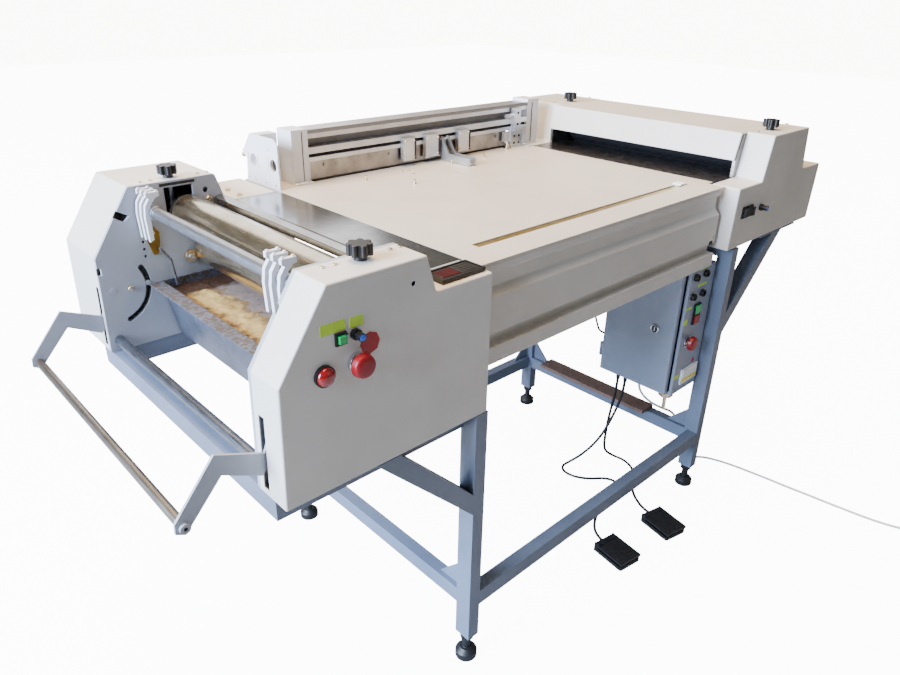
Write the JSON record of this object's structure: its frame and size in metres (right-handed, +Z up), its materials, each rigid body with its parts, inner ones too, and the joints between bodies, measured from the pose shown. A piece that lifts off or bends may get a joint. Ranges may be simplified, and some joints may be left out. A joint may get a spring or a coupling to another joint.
{
  "type": "hardcover case-making line",
  "caption": "Bench-height bookbinding line with a glue roller unit, a work table with gauge fence, a press roller unit, a control cabinet and foot pedals.",
  "frame": {"origin": "on the floor, under the middle of the machine's bounding box without its cords and pedals", "axes": "+X from the glue unit to the press unit along the machine, +Y from the operator's side to the back, +Z up"},
  "size_m": [1.9, 1.476, 1.036],
  "materials": {
    "stand_paint": "blue-grey powder coat",
    "cover_paint": "fine textured light grey-beige powder coat",
    "cabinet_paint": "grey powder coat",
    "black_rubber": "moulded rubber",
    "roller_rubber": "ground rubber covering",
    "hardboard": "brown hardboard",
    "brass": "drawn bar",
    "white_plastic": "machined plastic",
    "plate_steel": "brushed sheet and plate",
    "bright_steel": "ground and polished",
    "tray_steel": "sheet with dried glue",
    "dried_glue": "amber animal glue",
    "black_plastic": "moulded plastic",
    "fence_aluminium": "anodised extrusion",
    "red_plastic": "moulded plastic",
    "green_plastic": "moulded plastic",
    "label_film": "plain coloured film",
    "cord_black": "vinyl sheath",
    "cord_grey": "vinyl sheath",
    "pedal_plastic": "textured moulding"
  },
  "bodies": {
    "machine": {"stand_frame": "stand_paint", "levelling_feet": "black_rubber", "rail_board": "hardboard", "table_top": "cover_paint", "table_fascias": "cover_paint", "table_inserts": "brass", "glue_front_cover": "cover_paint", "glue_far_cover": "cover_paint", "glue_side_plates": "plate_steel", "feed_plate": "plate_steel", "press_front_cover": "cover_paint", "press_far_cover": "cover_paint", "press_inner_frame": "plate_steel", "press_hood": "cover_paint", "fence_posts": "fence_aluminium", "fence_rail": "fence_aluminium", "fence_back_plate": "plate_steel", "fence_end_housing": "cover_paint", "cabinet_body": "cabinet_paint", "panel_fittings": "black_plastic", "label_plates": "label_film", "fasteners": "bright_steel", "sensor_cable": "cord_black", "pedal_base_1": "pedal_plastic", "pedal_base_2": "pedal_plastic", "pedal_cable_1": "cord_black", "pedal_cable_2": "cord_black", "mains_cord": "cord_grey", "mains_coil": "cord_grey", "mains_plug": "cord_grey"},
    "slot_slider": {"slot_slider": "white_plastic"},
    "upper_roller": {"glue_roller_upper": "bright_steel"},
    "lower_roller": {"glue_roller_lower": "bright_steel"},
    "strippers": {"stripper_set": "bright_steel"},
    "tray": {"glue_tray": "tray_steel", "glue_fill": "dried_glue"},
    "lever": {"tray_lever": "bright_steel"},
    "knob_glue_near": {"star_knob_glue_near": "black_plastic"},
    "knob_glue_far": {"star_knob_glue_far": "black_plastic"},
    "knob_press_near": {"star_knob_press_near": "black_plastic"},
    "knob_press_far": {"star_knob_press_far": "black_plastic"},
    "press_top": {"press_roller_top": "roller_rubber"},
    "press_bottom": {"press_roller_bottom": "roller_rubber"},
    "carriage_left": {"gauge_carriage_left": "fence_aluminium"},
    "carriage_middle": {"gauge_carriage_middle": "fence_aluminium"},
    "carriage_right": {"gauge_carriage_right": "fence_aluminium"},
    "finger": {"gauge_finger": "fence_aluminium"},
    "door": {"cabinet_door": "cabinet_paint"},
    "lock": {"door_lock": "bright_steel"},
    "stop_glue": {"stop_knob_glue": "red_plastic"},
    "stop_cabinet": {"stop_knob_cabinet": "red_plastic"},
    "green": {"green_button": "green_plastic"},
    "start": {"start_button": "green_plastic"},
    "halt": {"halt_button": "red_plastic"},
    "speed_glue": {"speed_knob_glue": "black_plastic"},
    "speed_press": {"speed_knob_press": "black_plastic"},
    "rocker": {"rocker_switch": "black_plastic"},
    "treadle_a": {"treadle_1": "pedal_plastic"},
    "treadle_b": {"treadle_2": "pedal_plastic"}
  },
  "joints": [
    {"name": "upper_roller_turn", "type": "hinge", "parent": "machine", "child": "upper_roller", "pos_m": [-0.5995, -0.034, 0.89], "axis": [0, 1, 0], "continuous": true},
    {"name": "lower_roller_turn", "type": "hinge", "parent": "machine", "child": "lower_roller", "pos_m": [-0.5565, -0.034, 0.815], "axis": [0, 1, 0], "continuous": true},
    {"name": "press_top_turn", "type": "hinge", "parent": "machine", "child": "press_top", "pos_m": [0.6875, -0.04, 0.946], "axis": [0, 1, 0], "continuous": true},
    {"name": "press_bottom_turn", "type": "hinge", "parent": "machine", "child": "press_bottom", "pos_m": [0.6875, -0.04, 0.855], "axis": [0, 1, 0], "continuous": true},
    {"name": "stripper_swing", "type": "hinge", "parent": "machine", "child": "strippers", "pos_m": [-0.6855, -0.034, 0.92], "axis": [0, -1, 0], "range_deg": [-15, 15]},
    {"name": "lever_swing", "type": "hinge", "parent": "machine", "child": "lever", "pos_m": [-0.7745, -0.034, 0.762], "axis": [0, -1, 0], "range_deg": [-35, 28]},
    {"name": "tray_tilt", "type": "hinge", "parent": "machine", "child": "tray", "pos_m": [-0.5155, -0.034, 0.762], "axis": [0, -1, 0], "range_deg": [-14, 14]},
    {"name": "glue_gap_near_turn", "type": "hinge", "parent": "machine", "child": "knob_glue_near", "pos_m": [-0.6155, -0.3625, 0.963], "axis": [0, 0, 1], "continuous": true},
    {"name": "glue_gap_far_turn", "type": "hinge", "parent": "machine", "child": "knob_glue_far", "pos_m": [-0.6155, 0.2935, 0.963], "axis": [0, 0, 1], "continuous": true},
    {"name": "press_gap_near_turn", "type": "hinge", "parent": "machine", "child": "knob_press_near", "pos_m": [0.6875, -0.3625, 1.01], "axis": [0, 0, 1], "continuous": true},
    {"name": "press_gap_far_turn", "type": "hinge", "parent": "machine", "child": "knob_press_far", "pos_m": [0.6875, 0.2835, 1.01], "axis": [0, 0, 1], "continuous": true},
    {"name": "slot_slider_slide", "type": "slide", "parent": "machine", "child": "slot_slider", "axis": [1, 0, 0], "range_m": [-0.68, 0]},
    {"name": "left_carriage_slide", "type": "slide", "parent": "machine", "child": "carriage_left", "axis": [1, 0, 0], "range_m": [-0.25, 0.015]},
    {"name": "middle_carriage_slide", "type": "slide", "parent": "machine", "child": "carriage_middle", "axis": [1, 0, 0], "range_m": [-0.005, 0.018]},
    {"name": "right_carriage_slide", "type": "slide", "parent": "machine", "child": "carriage_right", "axis": [1, 0, 0], "range_m": [-0.01, 0.13]},
    {"name": "finger_fold", "type": "hinge", "parent": "carriage_middle", "child": "finger", "pos_m": [0.1465, 0.2855, 0.956], "axis": [1, 0, 0], "range_deg": [-85, 0]},
    {"name": "door_open", "type": "hinge", "parent": "machine", "child": "door", "pos_m": [0.3665, -0.1505, 0.529], "axis": [0, 0, 1], "range_deg": [-110, 0]},
    {"name": "lock_turn", "type": "hinge", "parent": "door", "child": "lock", "pos_m": [0.3565, -0.3125, 0.532], "axis": [1, 0, 0], "range_deg": [0, 90]},
    {"name": "stop_glue_push", "type": "slide", "parent": "machine", "child": "stop_glue", "axis": [0, 1, 0], "range_m": [0, 0.0035], "stiffness_N_per_m": 900},
    {"name": "stop_cabinet_push", "type": "slide", "parent": "machine", "child": "stop_cabinet", "axis": [0, 1, 0], "range_m": [0, 0.0035], "stiffness_N_per_m": 900},
    {"name": "green_push", "type": "slide", "parent": "machine", "child": "green", "axis": [0, 1, 0], "range_m": [0, 0.0025], "stiffness_N_per_m": 500},
    {"name": "start_push", "type": "slide", "parent": "machine", "child": "start", "axis": [0, 1, 0], "range_m": [0, 0.0025], "stiffness_N_per_m": 500},
    {"name": "halt_push", "type": "slide", "parent": "machine", "child": "halt", "axis": [0, 1, 0], "range_m": [0, 0.0025], "stiffness_N_per_m": 500},
    {"name": "speed_glue_turn", "type": "hinge", "parent": "machine", "child": "speed_glue", "pos_m": [-0.6665, -0.4125, 0.878], "axis": [0, 1, 0], "range_deg": [-140, 140]},
    {"name": "speed_press_turn", "type": "hinge", "parent": "machine", "child": "speed_press", "pos_m": [0.6065, -0.4125, 0.833], "axis": [0, 1, 0], "range_deg": [-140, 140]},
    {"name": "rocker_tip", "type": "hinge", "parent": "machine", "child": "rocker", "pos_m": [0.533, -0.4143, 0.8345], "axis": [0, 0, 1], "range_deg": [-5, 5]},
    {"name": "treadle_a_press", "type": "hinge", "parent": "machine", "child": "treadle_a", "pos_m": [0.11405, -0.39846, 0.018], "axis": [0.9885, -0.1513, 0], "range_deg": [0, 2.5], "stiffness_Nm_per_rad": 8, "springref_deg": -1.15},
    {"name": "treadle_b_press", "type": "hinge", "parent": "machine", "child": "treadle_b", "pos_m": [0.30382, -0.41987, 0.018], "axis": [0.9781, -0.2079, 0], "range_deg": [0, 2.5], "stiffness_Nm_per_rad": 8, "springref_deg": -1.15}
  ],
  "couplings": [
    {"joint": "lower_roller_turn", "follows": "upper_roller_turn", "ratio": -0.9767},
    {"joint": "press_top_turn", "follows": "press_bottom_turn", "ratio": -1},
    {"joint": "tray_tilt", "follows": "lever_swing", "ratio": -0.385}
  ]
}
